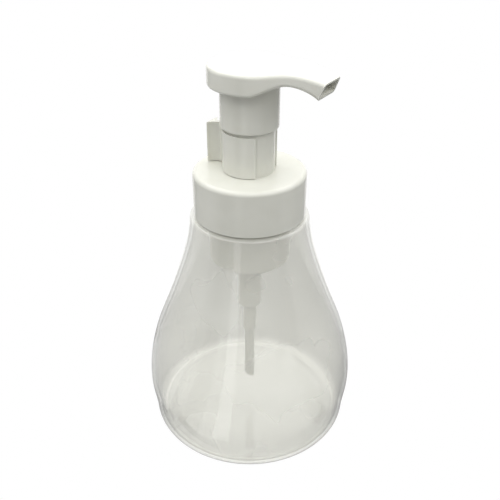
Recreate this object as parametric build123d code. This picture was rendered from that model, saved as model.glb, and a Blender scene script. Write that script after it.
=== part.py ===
from build123d import *
import os
from math import cos, sin, radians, sqrt

# Foaming hand-soap dispenser: clear pear-shaped bottle, screw-on foam pump, lock clip.
# Millimetres. Origin at the centre of the bottle's base, +Z up, spout towards +X.

# ---------------------------------------------------------------- driving dimensions
RUN_FIT = 0.05               # radial clearance of a sliding seal or bearing
PRESS_FIT = 0.02             # radial clearance drawn between pieces pressed together
JOIN = 0.4                   # how far two bodies of one piece run into each other

# bottle
WALL = 1.5
FOOT_R = 42.4                # outer edge of the flat standing ring
FOOT_EDGE = (45.4, 4.6)      # where the foot's rounding meets the side
FOOT_BEND = 5.2
# side of the bottle, from its widest ring up
SIDE = ((47.07, 19.4), (44.34, 41.7), (36.19, 65.2), (28.39, 88.7))
SIDE_LEAN = (-0.16, 1)       # direction of the side just below the shoulder
PUSH_UP_R = 37.6             # recess under the base
PUSH_UP = 1.3
PUSH_UP_SLOPE = 2.0
# rounded edge of the shoulder: its start, its middle and its end on the flat top
SHOULDER = ((25.45, 103.6), (25.1, 104.75), (23.85, 105.2))
NECK_R = 20.2
NECK_TOP = 120.5
BEAD_R = 20.9                # transfer bead at the foot of the neck
BEAD_Z = 105.9
BEAD_TOP = 107.0

# thread between neck and collar
PITCH = 4.0
NECK_THREAD_Z = 107.9
NECK_TURNS = 2.25
NECK_CREST_R = 21.4
NECK_RIDGE = (2.0, 1.1)      # width of the ridge at its root and its crest
COLLAR_TURNS = 1.5
COLLAR_CREST_R = 20.6
COLLAR_RIDGE = (1.4, 0.8)
THREAD_ROOT = 0.25           # how far a ridge is rooted in its wall

# collar
COLLAR_R = 23.5
COLLAR_Z = 105.6
COLLAR_TOP = 125.3
COLLAR_BORE_R = 21.8
COLLAR_DECK = 2.4            # thickness of the top wall
COLLAR_EDGE = 1.8
COLLAR_LIP = 0.4             # chamfer of the lower rim
PLUG_BORE_R = 14.9           # ring under the deck that centres the housing
PLUG_FIT = 0.15
PLUG_Z = 119.9
GUIDE_R = 10.25
GUIDE_BORE_R = 9.0
GUIDE_TOP = 144.9
GUIDE_EDGE = 0.4

# lock clip
CLIP_R = 11.2
CLIP_BORE_R = 10.45
CLIP_OPENING = 94.0          # degrees, on the spout side
CLIP_Z = 125.6
CLIP_TOP = 142.4
CLIP_BEAD_R = 0.6            # rounded ends of the arms
TAB_ROOT = 16.0              # degrees either side of the back
TAB_TIP_X = 18.2
TAB_TIP_HALF = 3.8
TAB_TIP_CROWN = 0.35
TAB_WAIST_X = 14.2
TAB_WAIST_HALF = 0.8

# gasket and pump housing
GASKET = 1.0
GASKET_BORE_R = 17.6
FLANGE = 1.4
FLANGE_R = 20.2
FLANGE_TOP = NECK_TOP + GASKET + FLANGE
AIR_R = 17.3
AIR_BORE_R = 16.1
AIR_FLOOR = 83.5
AIR_FLOOR_WALL = 1.5
AIR_CHAMFER = (1.8, 1.2)     # outside and inside
LIQUID_R = 5.25
LIQUID_BORE_R = 4.1
LIQUID_FLOOR = 58.1
LIQUID_CHAMFER = 1.2
LIQUID_TOP = 88.5            # upstand above the air cylinder's floor
VENT_R = 0.6                 # lets air into the bottle
VENT_Z = 114.6
SPIGOT_R = 2.97
SPIGOT_Z = 44.5
SEAT_R = 1.3                 # hole under each ball
BALL_R = 1.9
BALL_LIFT = 1.2
BALL_GAP = 0.05              # under a ball at rest
INLET_SEAT = 59.3
CHAMBER_R = 2.6
CAGE_Z = 63.0
CAGE_BAR = 0.9
SPRING_SEAT = 64.6

# dip tube
TUBE_R = 2.21
TUBE_BORE_R = 1.5
TUBE_TIP = 17.0
TUBE_SLANT = 28.0            # degrees of the cut end
TUBE_TOP = 56.5
TUBE_END_GAP = 0.5

# pistons and rod
LIQUID_PISTON_Z = 82.5
LIQUID_PISTON_TOP = 94.0
LIQUID_PISTON_R = 3.7
PISTON_SKIRT_R = 3.3         # bore round the top of the spring
SPRING_STOP_R = 1.9          # hole above the spring
UPPER_LIP_Z = 85.4
LIP = 0.6                    # height of a sealing lip
LIP_SLOPE = 1.0
SPRING_TOP = 89.0
ROD_SPIGOT_Z = SPRING_TOP + 0.4
ROD_SPIGOT_R = 2.6
ROD_BORE_R = 1.5
ROD_R = 3.4
ROD_FLANGE_Z = 107.8
ROD_FLANGE_R = 6.5
ROD_FLANGE = 1.0
ROD_HUB_R = 4.3
ROD_TOP = 130.0
FLUTE = 1.2                  # air grooves along the rod's hub
FLUTE_FLOOR = 0.9            # left between the flutes and the flange
HUB_R = 5.6
HUB_Z = 108.85
HUB_TOP = 117.0
AIR_LAG = 0.8                # lost motion that opens the air valve
PISTON_WALL_Z = 110.5
PISTON_WALL_TOP = 118.6
PISTON_BORE_R = 14.6
PISTON_RELIEF = 0.35         # the wall between the two lips stands back
PISTON_LIP = 0.7
PISTON_LIP_SLOPE = 1.2
WEB_Z = 112.2
WEB = 1.2
WEB_RIBS = 6
RIB = (9.6, 0.9, 2.0)        # length, width and height of a stiffening rib
RIB_MIDDLE = 10.0
PORT_R = 0.8
PORT_MIDDLE = 9.2
VALVE_R = 11.6
VALVE_HUB_R = 6.5
VALVE_SLEEVE = 1.6
VALVE_GAP = 0.05
VALVE_THIN = 0.3
VALVE_THICK = 0.7
OUTLET_SEAT = 120.0
OUTLET_SEAT_WALL = 3.0
JET_R = 2.45
JET_HOLE_R = 0.8
JET = 4.0
JET_SLOT = (1.0, 1.4)        # width and height of the slots that let soap past the ball

# return spring
WIRE = 0.55
SPRING_R = 2.8
SPRING_TURNS = 9.0

# nozzle stem and foam meshes
STEM_R = 6.2
STEM_Z = HUB_TOP + AIR_LAG
STEM_STEP = 147.0
STEM_FLANGE_Z = 162.2
STEM_FLANGE = 1.2
STEM_TOP = STEM_FLANGE_Z + STEM_FLANGE
STEM_CHAMFER = 0.6
STEM_RIB = (1.0, 4.2)        # width and height of the ribs inside the skirt
STEM_RIB_MIDDLE = 160.2
MESH = 0.4
MESH_PITCH = 1.0
MESH_OPENING = 0.62
MESH_ROWS = 3                # rows each side of the middle one
HOLDER_Z = 131.5
HOLDER_TOP = 146.0
HOLDER_BORE_R = 3.3
HOLDER_LAND = 4.0            # length of each end that grips the stem
HOLDER_GROOVE = 0.4

# nozzle head
SKIRT_R = 11.8
SKIRT_BORE_R = 10.6
SKIRT_Z = 143.5
SKIRT_EDGE = 0.9
HEAD_R = 16.5
HEAD_Z = 160.1
HEAD_TOP = 168.4
HEAD_WALL = 1.2
HEAD_EDGE = 1.6
HEAD_LOWER_EDGE = 1.2
# half width of the head along the spout, at X
SPOUT_PLAN = ((0, 16.5), (6, 16.0), (12, 13.8), (18, 11.5), (24, 9.2), (30, 7.2), (38, 5.6))
# crest and belly lines of the spout in side view
SPOUT_CREST = ((8, HEAD_TOP), (17, 169.3), (23, 169.6), (29, 168.7), (34.9, 167.2))
SPOUT_BELLY = ((9, HEAD_Z), (14.4, 162.6), (17.7, 164.2), (21, 165.0), (24.5, 164.6), (28, 163.4),
               (32.3, 160.9))
RECESS_END = 5.5             # the under-side recess stops here, short of the spout
RECESS_DEPTH = 5.8
RECESS_RIB = 0.9
RECESS_RIB_STEP = 36         # degrees
# foam channel inside the spout: half widths, floor and roof
CHANNEL_PLAN = ((0, 9.8), (8, 10.5), (14, 10.9), (18, 10.2), (24, 8.1), (30, 6.2), (38, 4.8))
CHANNEL_BELLY = ((9, STEM_TOP), (14.4, 164.0), (17.7, 165.2), (21, 166.0), (24.5, 165.6), (28, 164.3),
                 (32.6, 161.7), (34.2, 160.5))
CHANNEL_CREST = ((8, HEAD_TOP - 1.2), (17, 168.1), (23, 168.4), (29, 167.6), (34.6, 166.4), (36.3, 165.8))
CHANNEL_EDGE = 1.3


# ---------------------------------------------------------------- helpers
def disc(radius, low, high):
    """Solid cylinder about Z from low to high."""
    return Pos(0, 0, low) * Cylinder(radius, high - low, align=(Align.CENTER, Align.CENTER, Align.MIN))


def ring(radius, bore, low, high):
    """Tube about Z from low to high."""
    return disc(radius, low, high) - disc(bore, low - 1, high + 1)


def cone(low_radius, high_radius, low, high):
    """Solid cone frustum about Z."""
    body = Cone(low_radius, high_radius, high - low, align=(Align.CENTER, Align.CENTER, Align.MIN))
    return Pos(0, 0, low) * body


def lathe(face):
    """Solid of revolution from a half section drawn with x as radius and y as height."""
    return Rot(90, 0, 0) * revolve(face, Axis.Y)


def turned(*points):
    """Solid of revolution from a closed half outline of (radius, height) points."""
    return lathe(make_face(Polyline(*points, close=True)))


def thread(radius, crest_radius, turns, low, widths):
    """Helical ridge from a wall to its crest; widths are those at its root and its crest."""
    path = Pos(0, 0, low) * Helix(PITCH, PITCH * turns, radius)
    depth = crest_radius - radius
    root = -THREAD_ROOT if depth > 0 else THREAD_ROOT
    wide, narrow = widths[0] / 2, widths[1] / 2
    outline = ((root, -wide), (0, -wide), (depth, -narrow), (depth, narrow), (0, wide), (root, wide))
    plane = Plane(origin=path @ 0, x_dir=(1, 0, 0), z_dir=path % 0)
    section = plane * make_face(Polyline(*outline, close=True))
    return sweep(section, path=path, is_frenet=True)


def ball_middle(seat):
    """Height of the middle of a check ball resting on the rim of a seat hole."""
    return seat + sqrt(BALL_R ** 2 - SEAT_R ** 2) + BALL_GAP


def ball_ceiling(seat):
    """Height of the stop above a ball, which leaves it its lift."""
    return ball_middle(seat) + BALL_R + BALL_LIFT


def ball(seat):
    return Pos(0, 0, ball_middle(seat)) * Sphere(BALL_R)


# ---------------------------------------------------------------- bottle
def bottle():
    foot = (FOOT_R, 0)
    edge = RadiusArc(foot, FOOT_EDGE, -FOOT_BEND)
    side = Spline(edge @ 1, *SIDE, SHOULDER[0], tangents=(edge % 1, SIDE_LEAN))
    shoulder = ThreePointArc(*SHOULDER)
    rest = Polyline(shoulder @ 1, (NECK_R, SHOULDER[2][1]), (NECK_R, NECK_TOP), (0, NECK_TOP),
                    (0, PUSH_UP), (PUSH_UP_R - PUSH_UP_SLOPE, PUSH_UP), (PUSH_UP_R, 0), foot)
    outside = lathe(make_face([edge, side, shoulder, rest]))
    top = outside.faces().sort_by(Axis.Z)[-1]
    hollow = offset(outside, amount=-WALL, openings=[top])
    ridge = thread(NECK_R, NECK_CREST_R, NECK_TURNS, NECK_THREAD_Z, NECK_RIDGE)
    middle = (BEAD_Z + BEAD_TOP) / 2
    bead = turned((NECK_R - JOIN, BEAD_Z), (BEAD_R, BEAD_Z), (BEAD_R, middle), (NECK_R - JOIN, BEAD_TOP))
    return hollow + ridge + bead


# ---------------------------------------------------------------- collar and clip
def screw_collar():
    deck = COLLAR_TOP - COLLAR_DECK
    cap = disc(COLLAR_R, COLLAR_Z, COLLAR_TOP)
    cap = fillet(cap.edges().group_by(Axis.Z)[-1], COLLAR_EDGE)
    cap = cap - disc(COLLAR_BORE_R, COLLAR_Z - 1, deck)
    cap = chamfer(cap.edges().group_by(Axis.Z)[0], COLLAR_LIP)
    guide = disc(GUIDE_R, deck, GUIDE_TOP)
    guide = fillet(guide.edges().group_by(Axis.Z)[-1], GUIDE_EDGE)
    plug = ring(AIR_BORE_R - PLUG_FIT, PLUG_BORE_R, PLUG_Z, deck + JOIN)
    body = cap + guide + plug - disc(GUIDE_BORE_R, COLLAR_Z, GUIDE_TOP + 1)
    # half a pitch above the neck's ridge, so that the two ridges run side by side
    low = NECK_THREAD_Z + PITCH / 2
    return body + thread(COLLAR_BORE_R, COLLAR_CREST_R, COLLAR_TURNS, low, COLLAR_RIDGE)


def lock_clip():
    height = CLIP_TOP - CLIP_Z
    half = CLIP_OPENING / 2
    tip = radians(half)
    outer = CenterArc((0, 0), CLIP_R, half, 360 - CLIP_OPENING)
    inner = CenterArc((0, 0), CLIP_BORE_R, half, 360 - CLIP_OPENING)
    band = make_face([outer, inner, Line(outer @ 0, inner @ 0), Line(outer @ 1, inner @ 1)])
    middle = (CLIP_R + CLIP_BORE_R) / 2
    beads = [Pos(middle * cos(tip), side * middle * sin(tip)) * Circle(CLIP_BEAD_R) for side in (1, -1)]
    root = (-CLIP_R * cos(radians(TAB_ROOT)), CLIP_R * sin(radians(TAB_ROOT)))
    flare = ThreePointArc(root, (-TAB_WAIST_X, TAB_WAIST_HALF), (-TAB_TIP_X, TAB_TIP_HALF))
    mirrored = mirror(flare, Plane.XZ)
    close_tip = ThreePointArc(flare @ 1, (-TAB_TIP_X - TAB_TIP_CROWN, 0), mirrored @ 1)
    close_root = Line(flare @ 0, mirrored @ 0)
    tab = make_face([flare, mirrored, close_tip, close_root])
    plan = band + beads + tab - Circle(CLIP_BORE_R)
    return extrude(Pos(0, 0, CLIP_Z) * plan, height)


# ---------------------------------------------------------------- nozzle head
def head_block(plan_points, belly_points, crest_points):
    """Solid between a plan outline and the side view's lower and upper lines."""
    left = Spline(*plan_points, tangents=((1, 0), (1, -0.2)))
    right = mirror(left, Plane.XZ)
    back = plan_points[0][1]
    heel = ThreePointArc((0, back), (-back, 0), (0, -back))
    nose = Line(left @ 1, right @ 1)
    low = HEAD_Z - 2
    plan = extrude(Pos(0, 0, low) * make_face([left, right, heel, nose]), HEAD_TOP + 4 - low)
    crest = Spline(*crest_points, tangents=((1, 0), (1, -0.42)))
    belly = Spline(*belly_points, tangents=((1, 0.35), (1, -0.75)))
    back_x = -HEAD_R - 3
    frame = Polyline(belly @ 0, (back_x, belly_points[0][1]), (back_x, crest_points[0][1]), crest @ 0)
    mouth = Line(crest @ 1, belly @ 1)
    side = Pos(0, HEAD_R + 3, 0) * Rot(90, 0, 0) * make_face([crest, belly, frame, mouth])
    return plan & extrude(side, 2 * (HEAD_R + 3))


def outline_edges(block, low, high):
    """The long curved rims of a head block whose middles lie between two heights."""
    rims = block.edges().filter_by(lambda edge: edge.geom_type != GeomType.LINE and edge.length > 7.5)
    return rims.filter_by(lambda edge: low < edge.center().Z < high)


def under_recess():
    """Hollow under the head, round the skirt, with thin ribs left standing."""
    plan = [(x, half - HEAD_WALL) for x, half in SPOUT_PLAN]
    room = head_block(plan, SPOUT_BELLY, [(x, z - HEAD_WALL) for x, z in SPOUT_CREST])
    # deeper by one more wall, so that the recess opens downwards
    room += Pos(0, 0, -2 * HEAD_WALL) * room
    room -= disc(SKIRT_R + HEAD_WALL, SKIRT_Z, HEAD_TOP)
    behind = Box(3 * HEAD_R, 3 * HEAD_R, HEAD_R, align=(Align.MAX, Align.CENTER, Align.CENTER))
    room &= Pos(RECESS_END, 0, HEAD_Z) * behind
    rib = Pos(HEAD_R, 0, HEAD_Z + RECESS_DEPTH) * Box(HEAD_R, RECESS_RIB, 2 * RECESS_DEPTH)
    for turn in range(90, 271, RECESS_RIB_STEP):
        room -= Rot(0, 0, turn) * rib
    return room


def nozzle_head():
    block = head_block(SPOUT_PLAN, SPOUT_BELLY, SPOUT_CREST)
    block = fillet(outline_edges(block, HEAD_TOP - 1, HEAD_TOP + 2), HEAD_EDGE)
    block = fillet(outline_edges(block, HEAD_Z - 1, HEAD_TOP - 3.2), HEAD_LOWER_EDGE)
    skirt = disc(SKIRT_R, SKIRT_Z, STEM_TOP)
    skirt = fillet(skirt.edges().group_by(Axis.Z)[0], SKIRT_EDGE)
    channel = head_block(CHANNEL_PLAN, CHANNEL_BELLY, CHANNEL_CREST)
    channel = fillet(outline_edges(channel, HEAD_TOP - 2, HEAD_TOP + 2), CHANNEL_EDGE)
    return block + skirt - channel - under_recess() - disc(SKIRT_BORE_R, SKIRT_Z - 1, STEM_TOP)


# ---------------------------------------------------------------- stem and foam meshes
def nozzle_stem():
    foot = cone(STEM_R - STEM_CHAMFER, STEM_R, STEM_Z, STEM_Z + STEM_CHAMFER)
    body = foot + disc(STEM_R, STEM_Z + STEM_CHAMFER, STEM_TOP)
    body += disc(SKIRT_BORE_R - PRESS_FIT, STEM_FLANGE_Z, STEM_TOP)
    # the ribs stay inside the guide tube's bore when the head is down
    rib = Pos(0, 0, STEM_RIB_MIDDLE) * Box(2 * GUIDE_BORE_R - 1, *STEM_RIB)
    body += rib + Rot(0, 0, 90) * rib
    return body - disc(ROD_HUB_R, STEM_Z, STEM_STEP) - disc(HOLDER_BORE_R, STEM_STEP, STEM_TOP)


def mesh_holder():
    body = ring(ROD_HUB_R - PRESS_FIT, HOLDER_BORE_R, HOLDER_Z, HOLDER_TOP)
    waist = ROD_HUB_R - HOLDER_GROOVE
    return body - ring(ROD_HUB_R, waist, HOLDER_Z + HOLDER_LAND, HOLDER_TOP - HOLDER_LAND)


def foam_mesh(low):
    """Woven nylon disc, drawn with square holes in rows."""
    rows = range(-MESH_ROWS, MESH_ROWS + 1)
    hole = Rectangle(MESH_OPENING, MESH_OPENING)
    holes = [Pos(MESH_PITCH * i, MESH_PITCH * j) * hole
             for i in rows for j in rows if i * i + j * j < (MESH_ROWS + 0.25) ** 2]
    return Pos(0, 0, low) * extrude(Circle(ROD_HUB_R - RUN_FIT) - holes, MESH)


def lower_mesh():
    return foam_mesh(HOLDER_Z - MESH)


def upper_mesh():
    return foam_mesh(HOLDER_TOP)


# ---------------------------------------------------------------- rod, ball and jet
def piston_rod():
    flange_top = ROD_FLANGE_Z + ROD_FLANGE
    body = disc(ROD_SPIGOT_R, ROD_SPIGOT_Z, LIQUID_PISTON_TOP)
    body += disc(ROD_R, LIQUID_PISTON_TOP, ROD_FLANGE_Z)
    body += disc(ROD_FLANGE_R, ROD_FLANGE_Z, flange_top)
    body += disc(ROD_HUB_R, flange_top, ROD_TOP)
    body -= disc(ROD_BORE_R, ROD_SPIGOT_Z, OUTLET_SEAT - OUTLET_SEAT_WALL)
    body -= disc(SEAT_R, OUTLET_SEAT - OUTLET_SEAT_WALL, OUTLET_SEAT)
    body -= disc(JET_R, OUTLET_SEAT, ROD_TOP)
    groove = Box(FLUTE, FLUTE, ROD_TOP - flange_top, align=(Align.CENTER, Align.CENTER, Align.MIN))
    flute = Pos(ROD_HUB_R, 0, flange_top + FLUTE_FLOOR) * groove
    for turn in range(4):
        body -= Rot(0, 0, 90 * turn) * flute
    return body


def outlet_ball():
    return ball(OUTLET_SEAT)


def jet_insert():
    low = ball_ceiling(OUTLET_SEAT)
    body = ring(JET_R - PRESS_FIT, JET_HOLE_R, low, low + JET)
    slot = Pos(0, 0, low) * Box(3 * JET_R, *JET_SLOT)
    return body - slot - Rot(0, 0, 90) * slot


# ---------------------------------------------------------------- pistons
def air_piston():
    lip = AIR_BORE_R - RUN_FIT
    wall = lip - PISTON_RELIEF
    low_lip = PISTON_WALL_Z + PISTON_LIP
    high_lip = PISTON_WALL_TOP - PISTON_LIP
    body = turned((PISTON_BORE_R, low_lip), (lip, PISTON_WALL_Z), (lip, low_lip),
                  (wall, low_lip + PISTON_LIP_SLOPE), (wall, high_lip - PISTON_LIP_SLOPE), (lip, high_lip),
                  (lip, PISTON_WALL_TOP), (PISTON_BORE_R, high_lip))
    bore = ROD_HUB_R + RUN_FIT
    body += ring(PISTON_BORE_R + JOIN, bore, WEB_Z, WEB_Z + WEB)
    body += ring(HUB_R, bore, HUB_Z, HUB_TOP)
    rib = Pos(RIB_MIDDLE, 0, WEB_Z + WEB + RIB[2] / 2) * Box(*RIB)
    port = Pos(PORT_MIDDLE, 0, WEB_Z) * Cylinder(PORT_R, 3 * WEB)
    step = 360 / WEB_RIBS
    for turn in range(WEB_RIBS):
        body = body + Rot(0, 0, step * turn) * rib - Rot(0, 0, step * (turn + 0.5)) * port
    return body


def air_intake_valve():
    """Soft flap under the air piston's web: it covers the web's ports."""
    top = WEB_Z - VALVE_GAP
    root = VALVE_HUB_R - RUN_FIT
    sleeve = ring(VALVE_HUB_R, HUB_R + RUN_FIT, WEB_Z - VALVE_SLEEVE, top)
    flap = turned((root, top - VALVE_THICK), (VALVE_R, top - VALVE_THIN), (VALVE_R, top), (root, top))
    return sleeve + flap


def liquid_piston():
    lip = LIQUID_BORE_R - RUN_FIT
    low_lip = LIQUID_PISTON_Z + LIP
    high_lip = UPPER_LIP_Z + LIP_SLOPE
    outside = ((lip, LIQUID_PISTON_Z), (lip, low_lip), (LIQUID_PISTON_R, low_lip + LIP_SLOPE),
               (LIQUID_PISTON_R, UPPER_LIP_Z), (lip, high_lip), (lip, high_lip + LIP),
               (LIQUID_PISTON_R, high_lip + 2 * LIP), (LIQUID_PISTON_R, LIQUID_PISTON_TOP))
    inside = ((ROD_SPIGOT_R, LIQUID_PISTON_TOP), (ROD_SPIGOT_R, ROD_SPIGOT_Z), (SPRING_STOP_R, ROD_SPIGOT_Z),
              (SPRING_STOP_R, SPRING_TOP), (PISTON_SKIRT_R, SPRING_TOP), (PISTON_SKIRT_R, LIQUID_PISTON_Z))
    return turned(*outside, *inside)


def return_spring():
    rise = SPRING_TOP - SPRING_SEAT - WIRE
    path = Pos(0, 0, SPRING_SEAT + WIRE / 2) * Helix(rise / SPRING_TURNS, rise, SPRING_R)
    plane = Plane(origin=path @ 0, x_dir=(1, 0, 0), z_dir=path % 0)
    return sweep(plane * Circle(WIRE / 2), path=path, is_frenet=True)


# ---------------------------------------------------------------- housing, inlet valve, tube
def pump_housing():
    floor = AIR_FLOOR + AIR_FLOOR_WALL
    outer, inner = AIR_CHAMFER
    hub = LIQUID_R - JOIN
    cup = turned((hub, AIR_FLOOR), (AIR_R - outer, AIR_FLOOR), (AIR_R, AIR_FLOOR + outer),
                 (AIR_R, NECK_TOP + GASKET), (FLANGE_R, NECK_TOP + GASKET), (FLANGE_R, FLANGE_TOP),
                 (AIR_BORE_R, FLANGE_TOP), (AIR_BORE_R, floor + inner), (AIR_BORE_R - inner, floor),
                 (hub, floor))
    tube_stop = TUBE_TOP + TUBE_END_GAP
    root = SPIGOT_R - JOIN
    barrel = turned((root, LIQUID_FLOOR), (LIQUID_R - LIQUID_CHAMFER, LIQUID_FLOOR),
                    (LIQUID_R, LIQUID_FLOOR + LIQUID_CHAMFER), (LIQUID_R, LIQUID_TOP),
                    (LIQUID_BORE_R, LIQUID_TOP), (LIQUID_BORE_R, CAGE_Z), (CHAMBER_R, CAGE_Z),
                    (CHAMBER_R, INLET_SEAT), (SEAT_R, INLET_SEAT), (SEAT_R, tube_stop), (root, tube_stop))
    spigot = ring(SPIGOT_R, TUBE_R, SPIGOT_Z, tube_stop) + ring(SPIGOT_R, SEAT_R, tube_stop, INLET_SEAT)
    vent = Pos(AIR_R, 0, VENT_Z) * Rot(0, 90, 0) * Cylinder(VENT_R, 4 * (AIR_R - AIR_BORE_R))
    return cup + barrel + spigot - vent


def neck_gasket():
    return ring(FLANGE_R - 2 * RUN_FIT, GASKET_BORE_R, NECK_TOP, NECK_TOP + GASKET)


def ball_cage():
    rim = ring(LIQUID_BORE_R - PRESS_FIT, CHAMBER_R, CAGE_Z, SPRING_SEAT)
    low = ball_ceiling(INLET_SEAT)
    bar = Pos(0, 0, (low + SPRING_SEAT) / 2) * Box(2 * CHAMBER_R + 1, CAGE_BAR, SPRING_SEAT - low)
    return rim + bar + Rot(0, 0, 90) * bar


def inlet_ball():
    return ball(INLET_SEAT)


def dip_tube():
    tube = ring(TUBE_R, TUBE_BORE_R, TUBE_TIP - TUBE_R, TUBE_TOP)
    below = Box(8 * TUBE_R, 8 * TUBE_R, 4 * TUBE_R, align=(Align.CENTER, Align.CENTER, Align.MAX))
    return tube - Pos(0, 0, TUBE_TIP) * Rot(0, TUBE_SLANT, 0) * below


if __name__ == "__main__":
    os.makedirs("parts", exist_ok=True)
    for make in (bottle, screw_collar, lock_clip, nozzle_head, nozzle_stem, mesh_holder, lower_mesh,
                 upper_mesh, piston_rod, outlet_ball, jet_insert, air_piston, air_intake_valve,
                 liquid_piston, return_spring, pump_housing, neck_gasket, ball_cage, inlet_ball, dip_tube):
        solid = make()
        print(make.__name__, len(solid.solids()), round(solid.volume, 1), solid.is_valid)
        export_step(solid, f"parts/{make.__name__}.step")
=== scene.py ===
# %% [markdown]
# # A foaming hand-soap dispenser
# The object is a clear blown bottle with a screw-on foam pump. A CAD model gives every piece its
# true size and place, and this notebook gives each piece its surface. First the frame is loaded,
# then come small helpers, the moulded plastics, the soft plastics, the metal, the woven foam
# meshes, the clear bottle, and last the studio.

# %% Load the CAD frame
import bpy
import math
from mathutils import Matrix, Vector


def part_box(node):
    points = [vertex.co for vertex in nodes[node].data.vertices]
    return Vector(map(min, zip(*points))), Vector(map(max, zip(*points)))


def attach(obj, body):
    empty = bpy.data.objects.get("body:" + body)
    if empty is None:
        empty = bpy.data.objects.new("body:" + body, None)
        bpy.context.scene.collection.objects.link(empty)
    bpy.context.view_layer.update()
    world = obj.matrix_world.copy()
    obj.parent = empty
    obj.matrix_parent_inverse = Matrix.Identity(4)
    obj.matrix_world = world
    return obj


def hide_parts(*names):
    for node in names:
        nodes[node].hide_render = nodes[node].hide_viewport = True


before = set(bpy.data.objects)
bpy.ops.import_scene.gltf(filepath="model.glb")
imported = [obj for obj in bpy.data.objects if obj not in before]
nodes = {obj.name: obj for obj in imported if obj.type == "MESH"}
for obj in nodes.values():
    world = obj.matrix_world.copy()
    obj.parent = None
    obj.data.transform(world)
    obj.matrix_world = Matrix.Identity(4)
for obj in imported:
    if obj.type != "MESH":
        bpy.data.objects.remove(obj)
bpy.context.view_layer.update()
MM = 0.001

# %% [markdown]
# ## Helpers
# Colours are written the way a swatch book gives them, as sRGB hex values, and one function
# turns them into the linear numbers that the renderer mixes light with. Another adds one
# shader node together with its settings and its links, so that a material reads from top to
# bottom like a recipe.

# %% Colour and node helpers


def linear(code, alpha=1.0):
    """An sRGB hex colour as linear red, green, blue and alpha."""
    parts = [int(code[i:i + 2], 16) / 255 for i in (0, 2, 4)]
    return [c / 12.92 if c <= 0.04045 else ((c + 0.055) / 1.055) ** 2.4 for c in parts] + [alpha]


def add(tree, kind, settings=None, sockets=None):
    """Adds a node. A socket takes a plain value, or another node's output to link from."""
    node = tree.nodes.new(kind)
    for name, value in (settings or {}).items():
        setattr(node, name, value)
    for name, value in (sockets or {}).items():
        if isinstance(value, bpy.types.NodeSocket):
            tree.links.new(value, node.inputs[name])
        else:
            node.inputs[name].default_value = value
    return node


def start(name):
    """A new material with its tree emptied, and object coordinates to lay patterns on."""
    material = bpy.data.materials.new(name)
    material.use_nodes = True
    tree = material.node_tree
    tree.nodes.clear()
    place = add(tree, "ShaderNodeTexCoord").outputs["Object"]
    return material, tree, place


def finish_with(tree, shader):
    """Ends a material with the shader it shows."""
    add(tree, "ShaderNodeOutputMaterial", sockets={"Surface": shader})


def cycles_per_metre(size_mm):
    """Scale of a noise texture whose lumps are about this many millimetres across."""
    return 1 / (size_mm * MM)


def mottle(tree, place, size_mm, low, high, detail=2.0):
    """Soft noise between two numbers, with lumps of a real size."""
    cloud = add(tree, "ShaderNodeTexNoise", sockets={
        "Vector": place, "Scale": cycles_per_metre(size_mm), "Detail": detail})
    spread = add(tree, "ShaderNodeMapRange", {"clamp": False}, {
        "Value": cloud.outputs["Fac"], "From Min": 0.3, "From Max": 0.7, "To Min": low, "To Max": high})
    return spread.outputs["Result"]


def two_tone(tree, factor, light, shade):
    """A colour between two swatches."""
    mix = add(tree, "ShaderNodeMix", {"data_type": "RGBA"}, {
        "Factor": factor, "A": linear(light), "B": linear(shade)})
    return mix.outputs["Result"]


def relief(tree, height, depth_mm, below=None):
    """A bump of a real depth, laid over another one."""
    sockets = {"Height": height, "Strength": 1.0, "Distance": depth_mm * MM}
    if below is not None:
        sockets["Normal"] = below
    return add(tree, "ShaderNodeBump", sockets=sockets).outputs["Normal"]


def dress(material, *names):
    """Gives CAD nodes their material."""
    for name in names:
        nodes[name].data.materials.clear()
        nodes[name].data.materials.append(material)
    print(material.name, "on", ", ".join(names))


# %% [markdown]
# ## Moulded polypropylene
# Collar, head and clip are injection-moulded polypropylene, coloured off-white in the melt. A
# polished steel mould leaves it satin: crisp edges of light and broad soft highlights. Three
# things give moulded plastic away up close: a slow wave where the melt shrank as it cooled, the
# fine grain of the mould's steel, and a colour that is very slightly uneven where the melt
# flowed. Each is a noise at its real size, apart from the grain: the real one is near 0.05 mm
# and would not show, so it is drawn at 0.3 mm.

# %% Polypropylene
PP_LIGHT = "E3E3DA"
PP_SHADE = "DDDDD3"
PP_IOR = 1.49
SHRINK_WAVE_MM = 3.0
MOULD_GRAIN_MM = 0.3
FLOW_MM = 14.0
POLISH_MM = 6.0
WAVE_DEPTH_MM = 0.004
GRAIN_DEPTH_MM = 0.0012
SATIN = (0.15, 0.19)
UNDER_SKIN = (1.0, 0.9, 0.75)
PP_DEPTH_MM = 1.2


def moulded(name, light, shade, glow=0.05, rough=SATIN, ior=PP_IOR):
    """Satin moulded plastic; glow is how much of the light wanders under its skin."""
    material, tree, place = start(name)
    wave = mottle(tree, place, SHRINK_WAVE_MM, 0.0, 1.0, detail=0.0)
    grain = mottle(tree, place, MOULD_GRAIN_MM, 0.0, 1.0)
    skin = relief(tree, grain, GRAIN_DEPTH_MM, relief(tree, wave, WAVE_DEPTH_MM))
    finish_with(tree, add(tree, "ShaderNodeBsdfPrincipled", sockets={
        "Base Color": two_tone(tree, mottle(tree, place, FLOW_MM, 0.0, 1.0), light, shade),
        "Roughness": mottle(tree, place, POLISH_MM, *rough), "IOR": ior, "Normal": skin,
        "Subsurface Weight": glow, "Subsurface Radius": UNDER_SKIN,
        "Subsurface Scale": PP_DEPTH_MM * MM}).outputs["BSDF"])
    return material


dress(moulded("moulded polypropylene", PP_LIGHT, PP_SHADE),
      "screw_collar", "nozzle_head", "lock_clip")

# %% [markdown]
# ## The pump's inner mouldings
# The housing, stem, rod and small inserts are the same plastic with less pigment, so light goes
# deeper into them and they look a little softer and warmer.

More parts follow.
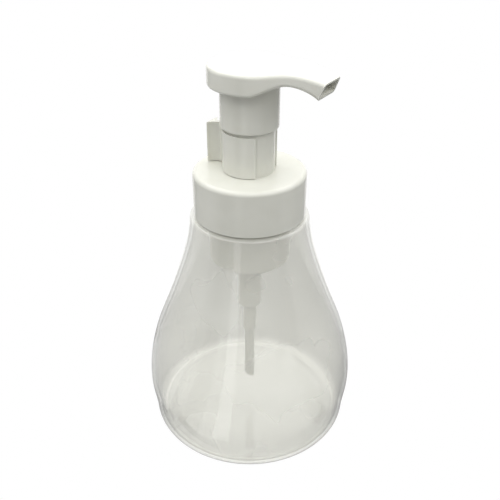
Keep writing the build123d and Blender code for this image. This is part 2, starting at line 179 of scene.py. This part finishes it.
# %% Natural polypropylene
NATURAL_LIGHT = "DEDDD2"
NATURAL_SHADE = "D6D5C9"
NATURAL_GLOW = 0.2
NATURAL_ROUGH = (0.3, 0.4)

dress(moulded("moulded natural polypropylene", NATURAL_LIGHT, NATURAL_SHADE,
              glow=NATURAL_GLOW, rough=NATURAL_ROUGH),
      "pump_housing", "nozzle_stem", "piston_rod", "mesh_holder", "jet_insert", "ball_cage")

# %% [markdown]
# ## Soft plastics
# The two pistons seal by bending, so they are low-density polyethylene: waxy, slightly blue and
# matt. The flap valve is silicone, which is clear enough to glow and a little sticky, so it
# hardly shines.

# %% Pistons and flap valve
LDPE_IOR = 1.51
LDPE_LIGHT = "E4E7E6"
LDPE_SHADE = "DADFE0"
LDPE_GLOW = 0.35
LDPE_ROUGH = (0.42, 0.52)
SILICONE_IOR = 1.41
SILICONE_LIGHT = "DCDFE0"
SILICONE_SHADE = "D2D6D8"
SILICONE_GLOW = 0.6
SILICONE_ROUGH = (0.5, 0.62)

dress(moulded("moulded low-density polyethylene", LDPE_LIGHT, LDPE_SHADE,
              glow=LDPE_GLOW, rough=LDPE_ROUGH, ior=LDPE_IOR),
      "air_piston", "liquid_piston")
dress(moulded("moulded silicone rubber", SILICONE_LIGHT, SILICONE_SHADE,
              glow=SILICONE_GLOW, rough=SILICONE_ROUGH, ior=SILICONE_IOR),
      "air_intake_valve")

# %% [markdown]
# ## Foamed liner
# The gasket is cut from a sheet of foamed polyethylene. Its cut faces show the cells, which are
# small closed bubbles. A Voronoi texture is made of cells too, so its distance output, laid on
# as a bump, gives rounded pits; 0.35 mm is a common cell size.

# %% Foamed polyethylene
CELL_MM = 0.35
CELL_DEPTH_MM = 0.08
CELL_ROUGH = (0.7, 0.85)
CUT_MM = 2.0
# The pits are a little darker than the cell walls: painted shade in the pits.
FOAM_PIT_PAINTED_SHADE = "E9E9E4"
FOAM_WALL = "F1F1ED"


def foamed(name):
    material, tree, place = start(name)
    cells = add(tree, "ShaderNodeTexVoronoi", sockets={"Vector": place, "Scale": cycles_per_metre(CELL_MM)})
    # The cells' distance sets both the pits' bump and their darker colour, which is painted shade.
    finish_with(tree, add(tree, "ShaderNodeBsdfPrincipled", sockets={
        "Base Color": two_tone(tree, cells.outputs["Distance"], FOAM_PIT_PAINTED_SHADE, FOAM_WALL),
        "Roughness": mottle(tree, place, CUT_MM, *CELL_ROUGH), "IOR": LDPE_IOR,
        "Normal": relief(tree, cells.outputs["Distance"], CELL_DEPTH_MM)}).outputs["BSDF"])
    return material


dress(foamed("foamed polyethylene"), "neck_gasket")

# %% [markdown]
# ## Extruded tube
# The dip tube is drawn through a die, which leaves fine lines along its length. Stretching the
# noise along Z by fifty turns round lumps into such lines; they are drawn 0.4 mm apart, coarser
# than the real ones, so that they show.

# %% Extruded polyethylene
DIE_LINE_MM = 0.4
LINE_STRETCH = 50.0
LINE_DEPTH_MM = 0.006
DRAWN_MM = 1.0
DRAWN_ROUGH = (0.3, 0.45)
DRAWN_GLOW = 0.2
DRAWN_DEPTH_MM = 0.8
TUBE_LIGHT = "DCDCD1"
TUBE_SHADE = "D3D3C7"


def extruded(name):
    material, tree, place = start(name)
    drawn = add(tree, "ShaderNodeMapping", sockets={
        "Vector": place, "Scale": (1.0, 1.0, 1 / LINE_STRETCH)}).outputs["Vector"]
    lines = mottle(tree, drawn, DIE_LINE_MM, 0.0, 1.0)
    finish_with(tree, add(tree, "ShaderNodeBsdfPrincipled", sockets={
        "Base Color": two_tone(tree, lines, TUBE_LIGHT, TUBE_SHADE), "IOR": LDPE_IOR,
        "Roughness": mottle(tree, drawn, DRAWN_MM, *DRAWN_ROUGH),
        "Normal": relief(tree, lines, LINE_DEPTH_MM), "Subsurface Weight": DRAWN_GLOW,
        "Subsurface Radius": UNDER_SKIN, "Subsurface Scale": DRAWN_DEPTH_MM * MM}).outputs["BSDF"])
    return material


dress(extruded("extruded polyethylene"), "dip_tube")

# %% [markdown]
# ## Stainless steel
# The return spring is bright drawn wire and the check balls are ground and polished. Both are
# bare metal, so their colour is the metal's own reflection. The wire keeps faint lines from
# its die; the balls have only a haze of fine scratches.

# %% Spring wire and balls
STEEL = "C9CACB"
STEEL_SHADE = "BDBEC0"
HAZE_MM = 1.0
WIRE_ROUGH = (0.2, 0.32)
WIRE_LINE_MM = 0.15
WIRE_DEPTH_MM = 0.002
BALL_ROUGH = (0.05, 0.1)
SCRATCH_MM = 0.3
SCRATCH_DEPTH_MM = 0.0003


def bright_steel(name, rough, scratch_mm, depth_mm):
    material, tree, place = start(name)
    scratches = mottle(tree, place, scratch_mm, 0.0, 1.0, detail=4.0)
    finish_with(tree, add(tree, "ShaderNodeBsdfPrincipled", sockets={
        "Base Color": two_tone(tree, scratches, STEEL, STEEL_SHADE), "Metallic": 1.0,
        "Roughness": mottle(tree, place, HAZE_MM, *rough),
        "Normal": relief(tree, scratches, depth_mm)}).outputs["BSDF"])
    return material


dress(bright_steel("drawn stainless wire", WIRE_ROUGH, WIRE_LINE_MM, WIRE_DEPTH_MM), "return_spring")
dress(bright_steel("ground stainless steel", BALL_ROUGH, SCRATCH_MM, SCRATCH_DEPTH_MM),
      "outlet_ball", "inlet_ball")

# %% [markdown]
# ## Woven foam meshes
# Foam is made by pushing soap and air through two discs of woven nylon. A weave is two sets of
# threads that pass over and under each other in turn, so each thread is a sine wave and its
# neighbour is the same wave half a period on. A tube swept along that wave gives the real form.
# The real mesh has a thread every 0.1 mm; here it is one every 0.5 mm, because more than that
# would not show and would only make the file heavy. A welded rim holds the cut ends.

# %% Weave
THREAD_STEP = 0.5 * MM
THREAD_R = 0.09 * MM
WAVE = 0.085 * MM
THREAD_SIDES = 8
SAMPLES_PER_STEP = 6
RIM_MARGIN = 0.25 * MM
RIM_STEPS = 96
RIM_SIDES = 12


def tube(points, radius, sides, closed=False):
    """Vertices and faces of a round tube along a list of points."""
    verts, faces = [], []
    count = len(points)
    for i, point in enumerate(points):
        after = points[(i + 1) % count] if closed else points[min(i + 1, count - 1)]
        before = points[i - 1] if closed else points[max(i - 1, 0)]
        along = (after - before).normalized()
        side = along.cross(Vector((0, 0, 1))).normalized()
        up = side.cross(along)
        for k in range(sides):
            turn = 2 * math.pi * k / sides
            verts.append(point + radius * (math.cos(turn) * side + math.sin(turn) * up))
    for i in range(count if closed else count - 1):
        for k in range(sides):
            a, b = i * sides, (i + 1) % count * sides
            faces.append((a + k, a + (k + 1) % sides, b + (k + 1) % sides, b + k))
    if not closed:
        last = (count - 1) * sides
        faces.append(tuple(range(sides - 1, -1, -1)))
        faces.append(tuple(last + k for k in range(sides)))
    return verts, faces


def weave(name, node):
    """A woven disc with a rim, in the place of a CAD disc."""
    low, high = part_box(node)
    middle = (Vector(low) + Vector(high)) / 2
    reach = (high[0] - low[0]) / 2 - RIM_MARGIN
    verts, faces = [], []

    def gather(points, radius, sides, closed=False):
        more, quads = tube(points, radius, sides, closed)
        faces.extend(tuple(len(verts) + i for i in quad) for quad in quads)
        verts.extend(middle + v for v in more)

    rows = int(reach / THREAD_STEP)
    for row in range(-rows, rows + 1):
        across = row * THREAD_STEP
        half = math.sqrt(reach ** 2 - across ** 2)
        count = max(2, int(2 * half / THREAD_STEP * SAMPLES_PER_STEP))
        line = [-half + 2 * half * i / count for i in range(count + 1)]
        for flip, swap in ((1, False), (-1, True)):
            side = flip * (1 if row % 2 else -1)
            wave = [side * WAVE * math.cos(math.pi * s / THREAD_STEP) for s in line]
            gather([Vector((across, s, h)) if swap else Vector((s, across, h))
                    for s, h in zip(line, wave)], THREAD_R, THREAD_SIDES)
    ring = [Vector((reach * math.cos(t), reach * math.sin(t), 0))
            for t in (2 * math.pi * i / RIM_STEPS for i in range(RIM_STEPS))]
    gather(ring, (high[2] - low[2]) / 2, RIM_SIDES, closed=True)
    mesh = bpy.data.meshes.new(name)
    mesh.from_pydata(verts, [], faces)
    for face in mesh.polygons:
        face.use_smooth = True
    piece = bpy.data.objects.new(name, mesh)
    bpy.context.scene.collection.objects.link(piece)
    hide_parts(node)
    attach(piece, "plunger")
    print(name, "threads each way:", 2 * rows + 1, " faces:", len(faces))
    return piece


# %% [markdown]
# The thread is nylon monofilament: smooth, glossy and almost clear.

# %% Nylon
NYLON_IOR = 1.53
NYLON_LIGHT = "F0F0EC"
NYLON_SHADE = "E4E5E2"
NYLON_CLEAR = 0.35
NYLON_ROUGH = (0.16, 0.26)
STREAK_MM = 0.6
STREAK_DEPTH_MM = 0.004
NYLON_MM = 0.8


def monofilament(name):
    material, tree, place = start(name)
    streak = mottle(tree, place, STREAK_MM, 0.0, 1.0)
    finish_with(tree, add(tree, "ShaderNodeBsdfPrincipled", sockets={
        "Base Color": two_tone(tree, streak, NYLON_LIGHT, NYLON_SHADE), "IOR": NYLON_IOR,
        "Roughness": mottle(tree, place, NYLON_MM, *NYLON_ROUGH), "Transmission Weight": NYLON_CLEAR,
        "Normal": relief(tree, streak, STREAK_DEPTH_MM)}).outputs["BSDF"])
    return material


nylon = monofilament("woven nylon monofilament")
for name, node in (("woven_lower_mesh", "lower_mesh"), ("woven_upper_mesh", "upper_mesh")):
    weave(name, node).data.materials.append(nylon)

# %% [markdown]
# ## Clear PET
# The bottle is blown from clear PET. Its wall is thin against its width, so what is behind it
# hardly shifts, and a ray can simply go on straight. Three things still happen at each face of
# the wall: the plastic's faint grey takes a little light, its slight haze scatters a little,
# and its skin mirrors a share that grows towards the edges. That share follows Schlick's rule,
# from the share seen head-on to all of it at a glancing angle. Seen edge-on the wall therefore
# turns bright, which draws the bottle's outline.
#
# The haze is the same share all over, apart from one ring, and only its colour drifts between two
# swatches. The heel, where the bottle stands, is thicker, and a narrow ring of it near the bottom
# has more haze; that ring is also a painted highlight, standing in for the bright line along the
# heel's rounding. All of this is what the camera sees directly: every other ray goes through the
# wall as if it were not there, so the bottle throws no shadow on what it holds or on the table.

# %% PET
PET_IOR = 1.575
HEAD_ON = ((PET_IOR - 1) / (PET_IOR + 1)) ** 2
PET_GREY = "FBFBF9"
PET_HAZE = "EAEAE3"
PET_HAZE_SHADE = "E0E0D8"
HAZE_CLOUD_MM = 30.0
HAZE_SHARE = 0.31
BLOW_WAVE_MM = 22.0
BLOW_WAVE_DEPTH_MM = 0.02
PET_ROUGH = (0.05, 0.08)
PET_ROUGH_MM = 9.0
SCHLICK_POWER = 5.0
# Where the painted highlight ring on the heel lies, and how much haze it has.
HEEL_R = 41.2
HEEL_WIDTH = 1.2
HEEL_TOP = 5.0
HEEL_HIGHLIGHT_HAZE = 0.6


def blown_pet(name):
    material, tree, place = start(name)
    wave = relief(tree, mottle(tree, place, BLOW_WAVE_MM, 0.0, 1.0, detail=0.0), BLOW_WAVE_DEPTH_MM)
    clear = add(tree, "ShaderNodeBsdfTransparent", sockets={"Color": linear(PET_GREY)}).outputs["BSDF"]
    cloud = two_tone(tree, mottle(tree, place, HAZE_CLOUD_MM, 0.0, 1.0), PET_HAZE, PET_HAZE_SHADE)
    haze = add(tree, "ShaderNodeBsdfDiffuse", sockets={"Color": cloud}).outputs["BSDF"]
    apart = add(tree, "ShaderNodeSeparateXYZ", sockets={"Vector": place})
    flat = add(tree, "ShaderNodeCombineXYZ", sockets={"X": apart.outputs["X"], "Y": apart.outputs["Y"]})
    radius = add(tree, "ShaderNodeVectorMath", {"operation": "LENGTH"}, {0: flat.outputs["Vector"]})
    # A narrow ring near the bottom gets more haze: a painted highlight along the heel's rounding, where the
    # heel is also thicker.
    off = add(tree, "ShaderNodeMath", {"operation": "COMPARE"}, {
        0: radius.outputs["Value"], 1: HEEL_R * MM, 2: HEEL_WIDTH / 2 * MM}).outputs["Value"]
    low = add(tree, "ShaderNodeMath", {"operation": "LESS_THAN"}, {
        0: apart.outputs["Z"], 1: HEEL_TOP * MM}).outputs["Value"]
    heel_highlight = add(tree, "ShaderNodeMath", {"operation": "MULTIPLY"}, {0: off, 1: low}).outputs["Value"]
    haze_with_heel_highlight = add(tree, "ShaderNodeMath", {"operation": "MULTIPLY_ADD"}, {
        0: heel_highlight, 1: HEEL_HIGHLIGHT_HAZE - HAZE_SHARE, 2: HAZE_SHARE}).outputs["Value"]
    body = add(tree, "ShaderNodeMixShader", sockets={0: haze_with_heel_highlight, 1: clear, 2: haze}).outputs["Shader"]
    gloss = add(tree, "ShaderNodeBsdfPrincipled", sockets={
        "Base Color": linear("FFFFFF"), "Metallic": 1.0, "Normal": wave,
        "Roughness": mottle(tree, place, PET_ROUGH_MM, *PET_ROUGH)}).outputs["BSDF"]
    facing = add(tree, "ShaderNodeLayerWeight", sockets={"Blend": 0.5, "Normal": wave}).outputs["Facing"]
    steep = add(tree, "ShaderNodeMath", {"operation": "POWER"}, {
        0: facing, 1: SCHLICK_POWER}).outputs["Value"]
    share = add(tree, "ShaderNodeMapRange", sockets={"Value": steep, "To Min": HEAD_ON, "To Max": 1.0})
    wall = add(tree, "ShaderNodeMixShader", sockets={0: share.outputs["Result"], 1: body, 2: gloss})
    passed = add(tree, "ShaderNodeBsdfTransparent", sockets={"Color": linear("FFFFFF")}).outputs["BSDF"]
    seen = add(tree, "ShaderNodeLightPath").outputs["Is Camera Ray"]
    finish_with(tree, add(tree, "ShaderNodeMixShader", sockets={
        0: seen, 1: passed, 2: wall.outputs["Shader"]}).outputs["Shader"])
    return material


print("PET mirrors head-on:", round(HEAD_ON, 3))
dress(blown_pet("blown clear PET"), "bottle")

# %% [markdown]
# ## Studio
# One wide softbox hangs over a pale table, so everything that faces up is bright and nothing
# throws a hard shadow. The table and the room are plain white to the camera, while what they
# throw onto the object stays that of grey card and of a dimmer room.

# %% Table and room
FLOOR_DROP = 0.0002
FLOOR_REACH = 8.0
TABLE_GREY = "888888"
WHITE = "FFFFFF"
SEEN_GLOW = 1.0
ROOM_GLOW = 0.42


def white_to_camera(tree, others):
    """Plain white to the camera, and another shader for every other ray."""
    seen = add(tree, "ShaderNodeLightPath").outputs["Is Camera Ray"]
    white = add(tree, "ShaderNodeEmission", sockets={"Color": linear(WHITE), "Strength": SEEN_GLOW})
    return add(tree, "ShaderNodeMixShader", sockets={
        0: seen, 1: others, 2: white.outputs["Emission"]}).outputs["Shader"]


def sheet(name, corners, faces, material):
    """A piece of the studio."""
    mesh = bpy.data.meshes.new(name)
    mesh.from_pydata(corners, [], faces)
    mesh.materials.append(material)
    piece = bpy.data.objects.new(name, mesh)
    bpy.context.scene.collection.objects.link(piece)
    return piece


material, tree, _ = start("pale table")
finish_with(tree, white_to_camera(tree, add(tree, "ShaderNodeBsdfDiffuse", sockets={
    "Color": linear(TABLE_GREY)}).outputs["BSDF"]))
sheet("studio_floor", [(x * FLOOR_REACH, y * FLOOR_REACH, -FLOOR_DROP)
                       for x, y in ((-1, -1), (1, -1), (1, 1), (-1, 1))], [(0, 1, 2, 3)], material)

world = bpy.data.worlds.new("studio")
bpy.context.scene.world = world
world.use_nodes = True
world.node_tree.nodes.clear()
room = add(world.node_tree, "ShaderNodeBackground", sockets={
    "Color": linear(WHITE), "Strength": ROOM_GLOW})
white = add(world.node_tree, "ShaderNodeBackground", sockets={
    "Color": linear(WHITE), "Strength": SEEN_GLOW})
seen = add(world.node_tree, "ShaderNodeLightPath").outputs["Is Camera Ray"]
walls = add(world.node_tree, "ShaderNodeMixShader", sockets={
    0: seen, 1: room.outputs["Background"], 2: white.outputs["Background"]})
add(world.node_tree, "ShaderNodeOutputWorld", sockets={"Surface": walls.outputs["Shader"]})

# %% [markdown]
# The softbox is square and hangs level over the middle of the table. The camera doesn't see it.

# %% Softbox
SOFTBOX_HEIGHT = 1.2
SOFTBOX_SIDE = 3.0
SOFTBOX_WATTS = 50


def softbox(name, place, target, size, power):
    lamp = bpy.data.lights.new(name, "AREA")
    lamp.shape = "RECTANGLE"
    lamp.size, lamp.size_y = size
    lamp.energy = power
    holder = bpy.data.objects.new(name, lamp)
    holder.location = place
    holder.rotation_euler = (Vector(target) - Vector(place)).to_track_quat("-Z", "Y").to_euler()
    holder.visible_camera = False
    bpy.context.scene.collection.objects.link(holder)
    radiance = power / (math.pi * size[0] * size[1])
    print(name, "gives", round(radiance, 2), "W per square metre and steradian")


softbox("top_softbox", (0, 0, SOFTBOX_HEIGHT), (0, 0, 0), (SOFTBOX_SIDE, SOFTBOX_SIDE), SOFTBOX_WATTS)

# %% [markdown]
# Seen from above, upright walls mirror the table round the object. Glowing and dark cards laid
# there like spokes give them soft upright bands of light. Each card is a slice of a ring, and
# its direction is counted from the front. The camera doesn't see the cards themselves.

# %% Cards on the table
VIEW_AZIMUTH = 32.5
CARD_NEAR = 0.056
CARD_FAR = 0.9
CARD_TOP = 0.9
CARD_STEP = 8
CARDS = (("left", -97, 56, 0.62), ("left_gap", -47, 18, 0.0), ("front_left", -21, 12, 1.0),
         ("front_right", 57, 14, 0.1), ("right", 125, 26, 0.45), ("behind", 180, 76, 1.1))


def card(name, direction, width, glow):
    """Lies on the table from near to far, then stands up."""
    material, tree, _ = start("card " + name)
    finish_with(tree, add(tree, "ShaderNodeEmission", sockets={
        "Color": linear("FFFFFF"), "Strength": glow}).outputs["Emission"])
    steps = max(2, round(width / CARD_STEP))
    corners, faces = [], []
    for i in range(steps + 1):
        turn = math.radians(VIEW_AZIMUTH + direction + width * (i / steps - 0.5))
        for radius, height in ((CARD_NEAR, 0.0), (CARD_FAR, 0.0), (CARD_FAR, CARD_TOP)):
            corners.append((radius * math.sin(turn), -radius * math.cos(turn), height))
    for i in range(steps):
        for k in (0, 1):
            faces.append((3 * i + k, 3 * i + k + 1, 3 * i + k + 4, 3 * i + k + 3))
    sheet("card_" + name, corners, faces, material).visible_camera = False


for settings in CARDS:
    card(*settings)
print("cards:", len(CARDS))

# %% [markdown]
# ## Camera
# The camera stands at an angle round the object and an angle above the table, at a distance from
# a point on the bottle's axis, and looks at that point.

# %% Camera
VIEW_PITCH = 31.05
VIEW_DISTANCE = 0.29315
VIEW_HEIGHT = 0.0864
LENS_MM = 48.245
SENSOR_MM = 36.0
SHIFT_X = 0.0007
CLIP_START = 0.01
turn, tilt = math.radians(VIEW_AZIMUTH), math.radians(VIEW_PITCH)
back = Vector((math.sin(turn) * math.cos(tilt), -math.cos(turn) * math.cos(tilt), math.sin(tilt)))
camera_data = bpy.data.cameras.new("camera")
camera_data.lens = LENS_MM
camera_data.sensor_width = SENSOR_MM
camera_data.shift_x = SHIFT_X
camera_data.clip_start = CLIP_START
camera = bpy.data.objects.new("camera", camera_data)
camera.location = Vector((0, 0, VIEW_HEIGHT)) + back * VIEW_DISTANCE
camera.rotation_euler = (-back).to_track_quat("-Z", "Y").to_euler()
bpy.context.scene.collection.objects.link(camera)
bpy.context.scene.camera = camera
bpy.context.scene.view_settings.view_transform = "Standard"
